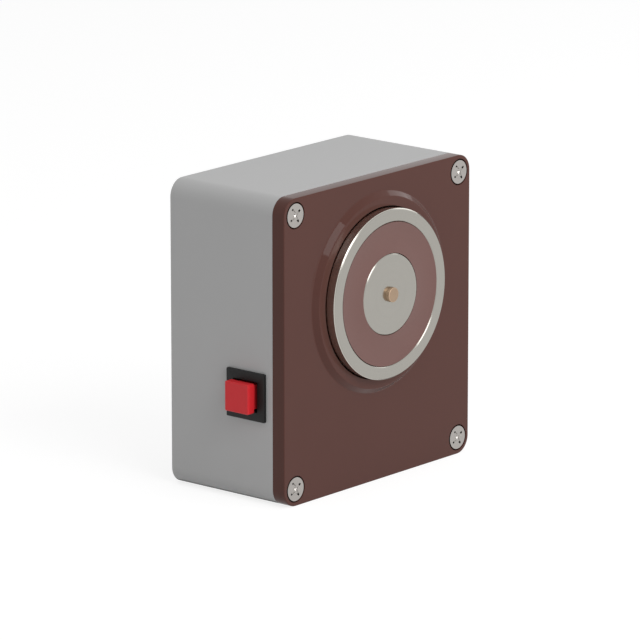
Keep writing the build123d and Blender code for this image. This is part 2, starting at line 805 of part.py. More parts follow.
# Suppressor diode across the two coil poles, its wires clamped from below
diode_z = strip_z - tower_height / 2 - diode_drop
diode_top_z = tube_bottom_z + diode_reach
diode_left = pole_xs[-2]
diode_right = pole_xs[-1]
diode_centre_x = (diode_left + diode_right) / 2
with BuildPart() as suppressor_diode:
    with BuildLine() as diode_wire:
        FilletPolyline(
            (diode_left, -tube_axis_depth, diode_top_z),
            (diode_left, -tube_axis_depth, diode_z),
            (diode_right, -tube_axis_depth, diode_z),
            (diode_right, -tube_axis_depth, diode_top_z),
            radius=diode_bend,
        )
    with BuildSketch(Plane(origin=diode_wire.line @ 0, z_dir=diode_wire.line % 0)):
        Circle(diode_wire_radius)
    sweep()
    with BuildSketch(Plane.YZ.offset(diode_centre_x - diode_length / 2)):
        with Locations((-tube_axis_depth, diode_z)):
            Circle(diode_radius)
    extrude(amount=diode_length)
suppressor_diode.part.label = "suppressor_diode"
export_step(suppressor_diode.part, "parts/suppressor_diode.step")

# Leads from the coil, through the pot's base, to the last two poles
lead_run_depth = pot_back - lead_run_gap
lead_fall_z = (strip_z + tower_height / 2 + magnet_z - rib_reach) / 2
for number, ((start_x, start_z), pole_x) in enumerate(zip(lead_holes, pole_xs[-2:]), start=1):
    route = [
        (start_x, -winding_back, start_z),
        (start_x, -lead_run_depth, start_z),
        ((start_x + pole_x) / 2 + lead_splay, -lead_run_depth, start_z - lead_slope),
        (pole_x, -tube_axis_depth, lead_fall_z),
        (pole_x, -tube_axis_depth, tube_top_z - lead_reach),
    ]
    with BuildPart() as coil_lead:
        with BuildLine() as coil_route:
            FilletPolyline(*route, radius=bend_radii(route))
        with BuildSketch(Plane(origin=coil_route.line @ 0, z_dir=coil_route.line % 0)):
            Circle(lead_radius)
        sweep()
    coil_lead.part.label = f"coil_lead_{number}"
    export_step(coil_lead.part, f"parts/coil_lead_{number}.step")

# Leads from the switch terminals, round the pot and behind it, to the first two poles
tail_x = -box_width / 2 + switch_length + terminal_tail
lead_depths = (switch_depth - terminal_offset, switch_depth + terminal_offset)
clear_radius = pot_radius + lead_gap
for number, (start_depth, angle, pole_x) in enumerate(zip(lead_depths, lead_angles, pole_xs[:2]), start=1):
    drop_x = clear_radius * cos(radians(angle))
    drop_z = magnet_z + clear_radius * sin(radians(angle))
    route = [
        (tail_x, -start_depth, switch_z),
        (tail_x + lead_tail, -start_depth, switch_z),
        (drop_x, -start_depth, drop_z),
        (drop_x, -lead_run_depth, drop_z),
        (pole_x, -tube_axis_depth, lead_fall_z),
        (pole_x, -tube_axis_depth, tube_top_z - lead_reach),
    ]
    with BuildPart() as switch_lead:
        with BuildLine() as switch_route:
            FilletPolyline(*route, radius=bend_radii(route))
        with BuildSketch(Plane(origin=switch_route.line @ 0, z_dir=switch_route.line % 0)):
            Circle(lead_radius)
        sweep()
    switch_lead.part.label = f"switch_lead_{number}"
    export_step(switch_lead.part, f"parts/switch_lead_{number}.step")
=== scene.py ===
import json
from math import cos, pi, radians, sin, tau

import bmesh
import bpy
from bpy.props import FloatProperty, FloatVectorProperty, PointerProperty
from mathutils import Matrix, Vector


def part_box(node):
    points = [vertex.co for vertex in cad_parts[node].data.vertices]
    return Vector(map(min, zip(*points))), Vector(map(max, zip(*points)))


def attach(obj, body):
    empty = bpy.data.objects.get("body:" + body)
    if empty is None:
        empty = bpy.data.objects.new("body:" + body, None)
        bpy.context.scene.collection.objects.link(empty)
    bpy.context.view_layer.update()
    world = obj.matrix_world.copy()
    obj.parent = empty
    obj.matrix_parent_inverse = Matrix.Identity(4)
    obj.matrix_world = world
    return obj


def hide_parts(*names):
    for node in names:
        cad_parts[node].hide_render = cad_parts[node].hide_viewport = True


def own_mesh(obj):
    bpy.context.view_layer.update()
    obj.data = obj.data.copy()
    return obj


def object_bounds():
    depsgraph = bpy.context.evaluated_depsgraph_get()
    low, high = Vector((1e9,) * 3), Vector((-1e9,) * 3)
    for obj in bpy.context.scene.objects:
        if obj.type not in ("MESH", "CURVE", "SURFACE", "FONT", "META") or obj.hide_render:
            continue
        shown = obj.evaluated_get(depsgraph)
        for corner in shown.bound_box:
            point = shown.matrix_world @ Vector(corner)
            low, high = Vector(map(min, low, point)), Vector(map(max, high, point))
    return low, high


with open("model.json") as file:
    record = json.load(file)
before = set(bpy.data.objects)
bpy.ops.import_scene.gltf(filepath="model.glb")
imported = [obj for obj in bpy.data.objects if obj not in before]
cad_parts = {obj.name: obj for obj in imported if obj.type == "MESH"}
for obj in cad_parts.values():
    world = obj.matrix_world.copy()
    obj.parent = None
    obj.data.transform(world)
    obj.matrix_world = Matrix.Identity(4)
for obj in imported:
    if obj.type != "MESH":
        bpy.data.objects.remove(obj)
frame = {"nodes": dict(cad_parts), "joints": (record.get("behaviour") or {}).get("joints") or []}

bl_info = {
    "name": "Electromagnetic Door Holder",
    "version": (1, 0, 0),
    "blender": (4, 5, 0),
    "location": "3D View > Sidebar > Door Holder",
    "description": "Dresses the door holder's box, cover, magnet, screws and release button",
    "category": "Object",
}

MM = 0.001
MERGE = 1e-7
CAD_BOX = [list(corner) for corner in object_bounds()]

# Sizes are in millimetres, as in the part, and angles in degrees. Depths are measured from the
# wall towards the front, and a name that ends in BACK is a distance behind the cover's face or,
# on the magnet and its pin, behind the pole faces.

# Box
BOX_WIDTH = 100.0
BOX_HEIGHT = 108.0
BOX_DEPTH = 51.2
HOUSING_DEPTH = 46.0
CORNER_RADIUS = 6.0

# Cover, with its collar round the magnet and a stepped seat for each screw
COLLAR_MARGIN_RADIUS = 36.2
COLLAR_FOOT_RADIUS = 35.5
COLLAR_TOP_RADIUS = 33.7
COLLAR_HOLE_RADIUS = 30.35
COLLAR_HEIGHT = 1.8
COLLAR_ROUNDING = ((1, 0.2), (2, 0.15), (3, 0.15))
SEAT_RADIUS = 4.7
SEAT_BACK = 2.0
SEAT_FLOOR_RADIUS = 2.6
SCREW_HOLE_RADIUS = 2.25
FLAT_MARGIN = 0.04

# Cover screws
CORNER_SCREWS = ((-44.0, 48.0), (44.0, 48.0), (-44.0, -48.0), (44.0, -48.0))
SCREW_LENGTH = 13.0
HEAD_RADIUS = 4.16
HEAD_LAND = 0.3
SHANK_RADIUS = 2.0
TIP_RADIUS = 1.5
TIP_LENGTH = 0.5
RECESS_TURN = 33.5
# One arm of the cross recess: distance out and to the side at the face, the same at the bottom,
# and how deep the bottom is there
RECESS_ARM = (
    (0.75, -0.75, 0.7, -0.7, 0.3),
    (2.2, -0.45, 2.15, -0.2, 0.25),
    (2.28, -0.43, 2.3, -0.3, 1.2),
    (2.95, -0.3, 2.85, -0.2, 1.2),
    (2.95, 0.3, 2.85, 0.2, 1.2),
    (2.28, 0.43, 2.3, 0.3, 1.2),
    (2.2, 0.45, 2.15, 0.2, 0.25),
)
PIT_RADIUS = 0.85
PIT_TURN = 8
PIT_RIM_BACK = 0.3
PIT_BACK = 0.9

# Magnet and the potting between its poles
MAGNET_Z = 13.2
POLE_FACE = 56.7
POT_BASE = 18.2
POT_FLOOR = 26.2
POT_RADIUS = 30.0
RING_INNER_RADIUS = 25.3
CORE_RADIUS = 14.4
CORE_HOLE_RADIUS = 2.65
CORE_BORE_RADIUS = 4.2
FIXING_BORE_RADIUS = 5.05
FIXING_BORE_END = 33.0
POT_BASE_CHAMFER = 0.5
RESIN_GAP = 0.03
RESIN_SHOULDER = 0.5
RESIN_EDGE_BACK = 0.17
RESIN_SHOULDER_BACK = 0.25
RESIN_MIDDLE_BACK = 0.3
RESIN_BACK = 3.75

# Ejector pin
PIN_RADIUS = 2.6
PIN_STAND = 1.5
PIN_FLANGE_RADIUS = 4.15
PIN_SHOULDER_BACK = 3.0
PIN_FLANGE_BACK = 5.0
PIN_TAIL_RADIUS = 2.3
PIN_TAIL_BACK = 10.0
PIN_ROUNDING = ((1, 0.25), (3, 0.2), (4, 0.2), (6, 0.2))

# Release button. Its depths are measured from the box's side, outwards.
SWITCH_PLACE = (-50.0, -34.6, -16.2)
BEZEL_SIZE = 17.0
BEZEL_CORNER = 0.35
BEZEL_STAND = 1.15
BEZEL_ROUNDING = 0.2
BEZEL_FLANGE = 1.2
WINDOW_INSET = 3.05
WINDOW_CHAMFER = 0.1
WINDOW_END = -16.0
SWITCH_SIZE = BEZEL_SIZE - 2 * BEZEL_FLANGE
SWITCH_CORNER = 0.05
SWITCH_END = -18.0
SWITCH_CHAMFER = 0.4
CAP_SIZE = 10.5
CAP_CORNER = 0.5
CAP_STEM_INSET = 1.05
CAP_STEM_END = -3.0
CAP_UNDERSIDE = 2.45
CAP_FACE = 5.75
CAP_UNDERSIDE_ROUNDING = 0.25
CAP_FACE_ROUNDING = 0.35

# Cable grommet, with the groove that the back wall sits in
GROMMET_PLACE = (-24.0, -40.0)
GROMMET_PROFILE = (
    (4.0, 0.1),
    (9.0, 0.1),
    (9.0, 1.7),
    (6.97, 1.7),
    (6.97, 3.5),
    (9.0, 3.5),
    (9.0, 5.0),
    (4.0, 5.0),
)
GROMMET_ROUNDING = ((0, 0.5), (1, 0.4), (6, 0.4), (7, 0.5))

# Camera and lamps, in metres and degrees
CAMERA_AZIMUTH = -49.81
CAMERA_RISE = 14.145
CAMERA_DISTANCE = 2.048
CAMERA_RIGHT = 0.01900
CAMERA_DOWN = 0.00499
# Each lamp's direction from the object, distance, size, power, and whether surfaces mirror it
LAMPS = {
    "key_panel": ((-0.228, -0.744, 0.629), 1.0, (0.5, 0.42), 2.0, True),
    "side_panel": ((0.90, -0.045, 0.41), 1.0, (0.42, 0.42), 0.6, True),
    "front_lamp": ((0.10, -0.85, 0.40), 1.6, (1.4, 1.4), 10.0, False),
    "top_lamp": ((0.10, -0.10, 1.0), 1.6, (1.4, 1.4), 4.0, False),
    "left_lamp": ((-1.0, -0.15, 0.25), 1.6, (1.4, 1.4), 1.0, False),
}
WHITE = (1, 1, 1, 1)
FLOOR_WHITE = (0.8, 0.8, 0.8, 1)
FLOOR_SIZE = 6.0
FLOOR_GLOW = 1.3
FLOOR_GLOW_SHARE = 0.62
WORLD_LIGHT = 0.35


class Wire:
    """One output socket of a finish. Python's operators on it add Math nodes."""

    def __init__(self, finish, socket):
        self.finish = finish
        self.socket = socket

    def math(self, operation, *values):
        settings = {"operation": operation}
        return self.finish.node("ShaderNodeMath", settings, dict(enumerate(values)))

    def __add__(self, other):
        return self.math("ADD", self, other)

    def __radd__(self, other):
        return self.math("ADD", other, self)

    def __rsub__(self, other):
        return self.math("SUBTRACT", other, self)

    def __mul__(self, other):
        return self.math("MULTIPLY", self, other)

    def __truediv__(self, other):
        return self.math("DIVIDE", self, other)


class Finish:
    """The nodes of a material or of the world."""

    def __init__(self, owner):
        owner.use_nodes = True
        self.owner = owner
        self.tree = owner.node_tree
        self.tree.nodes.clear()

    @classmethod
    def named(cls, name):
        """Finish of a new material."""
        return cls(bpy.data.materials.new(name))

    def node(self, kind, settings=None, sockets=None, output=0):
        """Adds a node, applies its settings, fills its sockets with values or wires, and returns
        one of its outputs."""
        made = self.tree.nodes.new(kind)
        for name, value in (settings or {}).items():
            setattr(made, name, value)
        for key, value in (sockets or {}).items():
            socket = self.socket(made.inputs, key)
            if isinstance(value, Wire):
                self.tree.links.new(value.socket, socket)
            else:
                socket.default_value = value
        return Wire(self, self.socket(made.outputs, output))

    @staticmethod
    def socket(group, key):
        """The socket with this number, this identifier or, failing those, this name."""
        if isinstance(key, int):
            return group[key]
        for socket in group:
            if socket.identifier == key:
                return socket
        return group[key]

    def place(self, centre=(0, 0, 0), stretch=(1, 1, 1)):
        """Object coordinates in metres, measured from a point and stretched along the axes."""
        place = self.node("ShaderNodeTexCoord", output="Object")
        for operation, value in (("SUBTRACT", centre), ("MULTIPLY", stretch)):
            settings = {"operation": operation}
            place = self.node("ShaderNodeVectorMath", settings, {0: place, 1: value})
        return place

    def part(self, vector, axis):
        """One of a vector's three parts."""
        return self.node("ShaderNodeSeparateXYZ", {}, {"Vector": vector}, axis)

    def radius(self, place):
        """Distance from the wall-square axis through a place's origin, in metres."""
        settings = {"operation": "MULTIPLY"}
        flat = self.node("ShaderNodeVectorMath", settings, {0: place, 1: (1, 0, 1)})
        return self.node("ShaderNodeVectorMath", {"operation": "LENGTH"}, {0: flat}, "Value")

    def noise(self, place, scale, detail=2.0, roughness=0.5):
        """Fractal noise from 0 to 1; scale is in cycles per metre."""
        sockets = {"Vector": place, "Scale": scale, "Detail": detail, "Roughness": roughness}
        return self.node("ShaderNodeTexNoise", {"noise_dimensions": "3D"}, sockets, "Fac")

    def rings(self, radius, scale, detail):
        """Noise from 0 to 1 along the distance from an axis, as a lathe leaves it."""
        sockets = {"W": radius, "Scale": scale, "Detail": detail}
        return self.node("ShaderNodeTexNoise", {"noise_dimensions": "1D"}, sockets, "Fac")

    def step(self, value, low, high):
        """Smooth ramp from 0 at the low value to 1 at the high one."""
        sockets = {"Value": value, "From Min": low, "From Max": high, "To Min": 0.0, "To Max": 1.0}
        return self.node("ShaderNodeMapRange", {"interpolation_type": "SMOOTHSTEP"}, sockets)

    def blend(self, factor, first, second):
        """Colour between two colours."""
        sockets = {"Factor_Float": factor, "A_Color": colour(first), "B_Color": colour(second)}
        return self.node("ShaderNodeMix", {"data_type": "RGBA"}, sockets, "Result_Color")

    def bump(self, height, distance, strength):
        """Normal bent by a height from 0 to 1 over a distance in metres."""
        sockets = {"Height": height, "Distance": distance, "Strength": strength}
        return self.node("ShaderNodeBump", {}, sockets)

    def output(self, shader, kind="ShaderNodeOutputMaterial"):
        """Makes a shader the surface of the material or the world, and returns that."""
        made = self.tree.nodes.new(kind)
        self.tree.links.new(shader.socket, made.inputs["Surface"])
        return self.owner

    def surface(self, **sockets):
        """Principled surface; an underscore in a name stands for a space."""
        named = {name.replace("_", " "): value for name, value in sockets.items()}
        return self.output(self.node("ShaderNodeBsdfPrincipled", {}, named))


def colour(value):
    """A wire as it is, or three numbers as a colour with full alpha."""
    return value if isinstance(value, Wire) else (*value, 1.0)


def shade(value, share):
    """Three numbers scaled alike, kept within 0 to 1."""
    return tuple(min(1.0, part * share) for part in value)


# Finishes


def grey_moulding():
    """Light grey plastic with a fine spark-eroded texture, and painted shade along its lower edge.
    """
    base = bpy.context.scene.door_holder.housing_colour
    finish = Finish.named("grey_moulding")
    place = finish.place()
    grain = finish.noise(place, 2600, 3.0, 0.6)
    clouds = finish.noise(place, 45, 2.0)
    tint = finish.blend(clouds * 0.6 + grain * 0.4, shade(base, 0.97), shade(base, 1.03))
    height = finish.part(place, "Z")
    facing = finish.part(finish.node("ShaderNodeTexCoord", output="Normal"), "Y")
    # Painted shade: a band just above the bottom edge, except on faces square to the wall, is
    # coloured much darker where the edge rounding turns down to the floor.
    bottom = -BOX_HEIGHT / 2
    low = 1.0 - finish.step(height, (bottom + 0.9) * MM, (bottom + 1.9) * MM)
    clear = finish.step(height, (bottom + 0.01) * MM, (bottom + 0.1) * MM)
    painted_edge_shade = low * clear * (1.0 - facing * facing)
    return finish.surface(
        Base_Color=finish.blend(painted_edge_shade, tint, shade(base, 0.15)),
        Roughness=0.5 + clouds * 0.1,
        IOR=1.46,
        Specular_IOR_Level=0.3,
        Normal=finish.bump(grain, 0.04 * MM, 0.5),
    )


def brown_moulding():
    """Reddish brown plastic, smoother than the housing."""
    base = bpy.context.scene.door_holder.cover_colour
    finish = Finish.named("brown_moulding")
    place = finish.place()
    grain = finish.noise(place, 1900, 2.0, 0.5)
    clouds = finish.noise(place, 38, 3.0)
    return finish.surface(
        Base_Color=finish.blend(clouds, shade(base, 0.96), shade(base, 1.05)),
        Roughness=0.035 + clouds * 0.03,
        IOR=1.46,
        Specular_IOR_Level=0.2,
        Normal=finish.bump(grain, 0.004 * MM, 0.3),
    )


def turned_steel():
    """Plated steel with the fine rings that a lathe leaves on the pole faces, and a painted
    reflection on the pot's side wall.
    """
    base = bpy.context.scene.door_holder.steel_colour
    finish = Finish.named("turned_steel")
    place = finish.place((0, 0, MAGNET_Z * MM))
    from_axis = finish.radius(place)
    fine = finish.rings(from_axis, 5200, 2.0)
    wide = finish.rings(from_axis, 700, 1.0)
    stains = finish.noise(place, 90, 3.0)
    tint = finish.blend(wide * 0.5 + stains * 0.5, shade(base, 0.95), shade(base, 1.05))
    # Painted reflection and highlight: the side wall and the outer part of its chamfer are coloured
    # much brighter. This imitates the brown cover mirrored in the wall and brighter highlight arcs
    # on the chamfer.
    wall = finish.step(from_axis, (POT_RADIUS - 0.2) * MM, (POT_RADIUS - 0.05) * MM)
    return finish.surface(
        Base_Color=finish.blend(wall, tint, shade(base, 1.65)),
        Metallic=1.0,
        Roughness=0.15 + fine * 0.06 + stains * 0.04,
        Normal=finish.bump(fine * 0.7 + wide * 0.3, 0.006 * MM, 0.5),
    )


def cast_resin():
    """Filled potting resin, reddish brown and slightly uneven."""
    base = bpy.context.scene.door_holder.resin_colour
    finish = Finish.named("cast_resin")
    place = finish.place()
    filler = finish.noise(place, 1500, 4.0, 0.65)
    swirl = finish.noise(place, 70, 3.0)
    return finish.surface(
        Base_Color=finish.blend(filler * 0.35 + swirl * 0.65, shade(base, 0.93), shade(base, 1.07)),
        Roughness=0.34 + swirl * 0.1,
        Specular_IOR_Level=0.3,
        Normal=finish.bump(swirl * 0.8 + filler * 0.2, 0.06 * MM, 0.4),
    )


def copper_alloy():
    """Turned bronze pin, dulled by handling, with painted light on its side."""
    base = bpy.context.scene.door_holder.pin_colour
    finish = Finish.named("copper_alloy")
    place = finish.place((0, 0, MAGNET_Z * MM))
    from_axis = finish.radius(place)
    rings = finish.rings(from_axis, 6000, 1.0)
    tarnish = finish.noise(place, 480, 3.0)
    tint = finish.blend(tarnish, shade(base, 0.86), shade(base, 1.1))
    # Painted light: the pin's side is coloured lighter than its tip, as it looks when lit.
    wall = finish.step(from_axis, (PIN_RADIUS - 0.3) * MM, (PIN_RADIUS - 0.05) * MM)
    return finish.surface(
        Base_Color=finish.blend(wall, tint, shade(base, 1.35)),
        Metallic=1.0,
        Roughness=0.34 + tarnish * 0.14,
        Normal=finish.bump(rings, 0.008 * MM, 0.5),
    )


def zinc_plate():
    """Bright zinc plating, with the grain of a cold-headed screw."""
    base = bpy.context.scene.door_holder.screw_colour
    finish = Finish.named("zinc_plate")
    place = finish.place()
    grain = finish.noise(place, 2400, 3.0, 0.6)
    cloud = finish.noise(place, 350, 2.0)
    return finish.surface(
        Base_Color=finish.blend(cloud, shade(base, 0.93), shade(base, 1.06)),
        Metallic=1.0,
        Roughness=0.2 + cloud * 0.1,
        Normal=finish.bump(grain, 0.01 * MM, 0.5),
    )


def black_moulding():
    """Black switch moulding with a satin surface."""
    base = bpy.context.scene.door_holder.bezel_colour
    finish = Finish.named("black_moulding")
    grain = finish.noise(finish.place(), 2800, 3.0, 0.6)
    return finish.surface(
        Base_Color=finish.blend(grain, shade(base, 0.85), shade(base, 1.2)),
        Roughness=0.42 + grain * 0.08,
        Specular_IOR_Level=0.22,
        Normal=finish.bump(grain, 0.03 * MM, 0.4),
    )


def red_moulding():
    """Red button cap, polished and a little worn on its face."""
    base = bpy.context.scene.door_holder.button_colour
    finish = Finish.named("red_moulding")
    cloud = finish.noise(finish.place(), 260, 3.0)
    scuffs = finish.noise(finish.place(stretch=(1, 0.25, 2.5)), 900, 3.0)
    return finish.surface(
        Base_Color=finish.blend(cloud, shade(base, 0.96), shade(base, 1.05)),
        Roughness=0.3 + scuffs * 0.08,
        Specular_IOR_Level=0.3,
        Normal=finish.bump(scuffs, 0.008 * MM, 0.4),
    )


def plain_plastic(name, base, roughness):
    """Moulded plastic or rubber of an inner part, with a slight mottle."""
    finish = Finish.named(name)
    mottle = finish.noise(finish.place(), 700, 3.0)
    return finish.surface(
        Base_Color=finish.blend(mottle, shade(base, 0.9), shade(base, 1.08)),
        Roughness=roughness + mottle * 0.1,
        Normal=finish.bump(mottle, 0.02 * MM, 0.3),
    )


def plain_metal(name, base, roughness):
    """Metal of an inner part, with machining grain."""
    finish = Finish.named(name)
    grain = finish.noise(finish.place(), 1800, 3.0)
    return finish.surface(
        Base_Color=finish.blend(grain, shade(base, 0.9), shade(base, 1.1)),
        Metallic=1.0,
        Roughness=roughness + grain * 0.12,
        Normal=finish.bump(grain, 0.01 * MM, 0.4),
    )


def wound_wire():
    """Enamelled copper wire wound in layers round the bobbin, with painted shade and highlight
    across its turns.
    """
    wire = 0.18 * MM
    finish = Finish.named("wound_wire")
    depth = finish.part(finish.place(), "Y")
    ridge = finish.node("ShaderNodeMath", {"operation": "PINGPONG"}, {0: depth, 1: wire}) / wire
    # Painted shade and highlight: the colour runs between dark and light across each turn, standing
    # in for light on the round wires.
    return finish.surface(
        Base_Color=finish.blend(ridge, (0.16, 0.05, 0.02), (0.5, 0.2, 0.08)),
        Metallic=0.8,
        Roughness=0.35,
        Normal=finish.bump(ridge, 0.1 * MM, 0.8),
    )


# Shapes


def clean(shape):
    """Merges a shape's doubles and turns its faces outwards."""
    bmesh.ops.remove_doubles(shape, verts=shape.verts[:], dist=MERGE)
    bmesh.ops.recalc_face_normals(shape, faces=shape.faces[:])


def round_corners(shape, corners, size, segments):
    """Rounds corners of a flat outline."""
    bmesh.ops.bevel(
        shape,
        geom=corners,
        offset=size * MM,
        offset_type="OFFSET",
        segments=segments,
        profile=0.5,
        affect="VERTICES",
        material=-1,
    )


def turned(profile, place=(0.0, 0.0), rounding=(), steps=144, closed=True, segments=4):
    """Shape turned about an axis square to the wall, from a profile of (radius, depth) points.
    The rounding holds the number of each rounded point and its radius."""
    shape = bmesh.new()
    points = [shape.verts.new((radius * MM, -depth * MM, 0)) for radius, depth in profile]
    for pair in zip(points, points[1:] + points[:1] if closed else points[1:]):
        shape.edges.new(pair)
    for index, size in rounding:
        round_corners(shape, [points[index]], size, segments)
    bmesh.ops.spin(
        shape,
        geom=shape.verts[:] + shape.edges[:],
        cent=(0, 0, 0),
        axis=(0, 1, 0),
        angle=tau,
        steps=steps,
        use_merge=True,
    )
    clean(shape)
    bmesh.ops.translate(shape, verts=shape.verts[:], vec=(place[0] * MM, 0, place[1] * MM))
    return shape


def outline(shape, width, height, corner, depth, segments):
    """Adds the loop of a rounded rectangle parallel to the wall and returns its edges."""
    before = set(shape.edges)
    corners = [
        shape.verts.new((x * width / 2 * MM, -depth * MM, z * height / 2 * MM))
        for x, z in ((-1, -1), (1, -1), (1, 1), (-1, 1))
    ]
    for pair in zip(corners, corners[1:] + corners[:1]):
        shape.edges.new(pair)
    round_corners(shape, corners, corner, segments)
    return [edge for edge in shape.edges if edge not in before]


def stacked(shape, width, height, corner, levels, segments):
    """Bridges rounded rectangles at (inset, depth) levels."""
    loops = []
    for inset, depth in levels:
        size = (width - 2 * inset, height - 2 * inset, max(corner - inset, 0.05))
        loops.append(outline(shape, *size, depth, segments))
    for lower, upper in zip(loops, loops[1:]):
        bmesh.ops.bridge_loops(shape, edges=lower + upper)


def rounded_edge(depth, size, steps=4):
    """Levels that round a front edge of this size, from the side wall to the face."""
    levels = []
    for number in range(steps + 1):
        turn = pi / 2 * number / steps
        levels.append((size * (1 - cos(turn)), depth - size * (1 - sin(turn))))
    return levels


def boundary(shape, depth):
    """Open edges of a shape that lie at this depth."""
    return [
        edge
        for edge in shape.edges
        if (edge.is_boundary or edge.is_wire)
        and all(abs(vert.co.y + depth * MM) < MERGE for vert in edge.verts)
    ]


def join(shape, other):
    """Adds another shape to this one."""
    mesh = bpy.data.meshes.new("joining")
    other.to_mesh(mesh)
    other.free()
    shape.from_mesh(mesh)
    bpy.data.meshes.remove(mesh)


def fill(shape, edges, margin=0.0):
    """Flat face between an outer loop and the holes inside it, with a margin along its edges."""
    filled = bmesh.ops.triangle_fill(shape, edges=edges, use_beauty=True, use_dissolve=False)
    if margin:
        faces = [item for item in filled["geom"] if isinstance(item, bmesh.types.BMFace)]
        bmesh.ops.inset_region(shape, faces=faces, thickness=margin * MM, use_even_offset=True)


def close(shape, depth, margin=0.0):
    """One flat face over the single open loop at this depth, with a margin inside its edge."""
    faces = bmesh.ops.edgeloop_fill(shape, edges=boundary(shape, depth))["faces"]
    if margin:
        thickness = margin * MM
        bmesh.ops.inset_individual(shape, faces=faces, thickness=thickness, use_even_offset=True)


def made(name, shape, finish, slot, body, replaced):
    """Object from a shape, with its finish, the body it rides on and the nodes it stands for."""
    mesh = bpy.data.meshes.new(name)
    shape.to_mesh(mesh)
    shape.free()
    mesh.materials.append(finish)
    mesh.shade_smooth()
    mesh.set_sharp_from_angle(angle=radians(32))
    piece = bpy.data.objects.new(name, mesh)
    bpy.context.scene.collection.objects.link(piece)
    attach(piece, body)
    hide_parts(*replaced)
    return piece


def dress(finish, *names):
    """Gives CAD nodes this finish."""
    for name in names:
        node = frame["nodes"][name]
        node.data.materials.clear()
        node.data.materials.append(finish)


class DoorHolderSettings(bpy.types.PropertyGroup):
    """Sizes and colours of the dressed door holder."""

    housing_colour: FloatVectorProperty(
        name="Housing",
        description="Colour of the moulded housing",
        subtype="COLOR",
        default=(0.512, 0.512, 0.512),
    )
    cover_colour: FloatVectorProperty(
        name="Cover",
        description="Colour of the moulded cover",
        subtype="COLOR",
        default=(0.098, 0.036, 0.0275),
    )
    steel_colour: FloatVectorProperty(
        name="Poles",
        description="Colour of the plated pole faces",
        subtype="COLOR",
        default=(0.365, 0.352, 0.320),
    )
    resin_colour: FloatVectorProperty(
        name="Resin",
        description="Colour of the potting resin",
        subtype="COLOR",
        default=(0.178, 0.091, 0.080),
    )
    pin_colour: FloatVectorProperty(
        name="Pin",
        description="Colour of the ejector pin",
        subtype="COLOR",
        default=(0.41, 0.295, 0.205),
    )
    screw_colour: FloatVectorProperty(
        name="Screws",
        description="Colour of the zinc plating",
        subtype="COLOR",
        default=(0.408, 0.386, 0.365),
    )
    bezel_colour: FloatVectorProperty(
        name="Bezel",
        description="Colour of the switch moulding",
        subtype="COLOR",
        default=(0.012, 0.012, 0.012),
    )
    button_colour: FloatVectorProperty(
        name="Button",
        description="Colour of the button cap",
        subtype="COLOR",
        default=(0.70, 0.022, 0.030),
    )
    moulded_edge: FloatProperty(
        name="Moulded edge",
        description="Radius on the cover's front edge",
        default=0.3 * MM,
        min=0.05 * MM,
        max=1.0 * MM,
        subtype="DISTANCE",
        unit="LENGTH",
    )
    turned_edge: FloatProperty(
        name="Turned edge",
        description="Width of the chamfers on the magnet's poles",
        default=0.4 * MM,
        min=0.1 * MM,
        max=1.0 * MM,
        subtype="DISTANCE",
        unit="LENGTH",
    )
    camera_lens: FloatProperty(
        name="Lens",
        description="Focal length of the camera",
        default=328.3,
        min=50.0,
        subtype="DISTANCE_CAMERA",
    )


